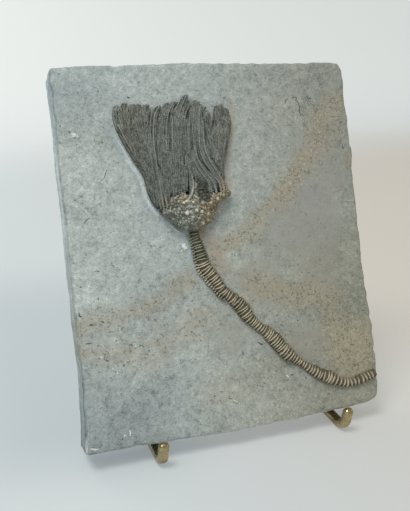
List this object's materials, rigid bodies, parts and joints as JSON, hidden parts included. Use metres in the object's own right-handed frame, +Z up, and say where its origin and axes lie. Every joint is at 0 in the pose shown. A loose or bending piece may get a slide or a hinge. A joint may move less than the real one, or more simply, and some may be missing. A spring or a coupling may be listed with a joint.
{
  "type": "crinoid fossil on easel",
  "caption": "Crinoid in relief, with feathery crown and long curved ribbed stem, on a trimmed slab of grey siltstone that leans back on a small brass easel.",
  "frame": {"origin": "middle of the footprint, on the floor under the easel", "axes": "+Z up, +X to the right as the fossil is looked at, -Y out of the fossil's side of the slab"},
  "size_m": [0.1166, 0.0746, 0.1359],
  "materials": {
    "siltstone": "dull, fine-grained, pale grey with ochre specks",
    "fossil_calcite": "dull dark grey-green, browner on the cup and the stem",
    "brass": "polished, slightly tarnished"
  },
  "bodies": {
    "root": {"matrix_slab": "siltstone", "calyx": "fossil_calcite", "arm_01": "fossil_calcite", "arm_02": "fossil_calcite", "arm_03": "fossil_calcite", "arm_04": "fossil_calcite", "arm_05": "fossil_calcite", "arm_06": "fossil_calcite", "arm_07": "fossil_calcite", "arm_08": "fossil_calcite", "arm_09": "fossil_calcite", "arm_10": "fossil_calcite", "arm_11": "fossil_calcite", "arm_12": "fossil_calcite", "arm_13": "fossil_calcite", "arm_14": "fossil_calcite", "arm_15": "fossil_calcite", "arm_16": "fossil_calcite", "arm_17": "fossil_calcite", "arm_18": "fossil_calcite", "arm_19": "fossil_calcite", "arm_20": "fossil_calcite", "stem": "fossil_calcite", "easel_left_side": "brass", "easel_right_side": "brass", "easel_lower_bar": "brass", "easel_top_bar": "brass", "easel_rear_leg": "brass", "easel_rear_foot": "brass"}
  },
  "joints": []
}
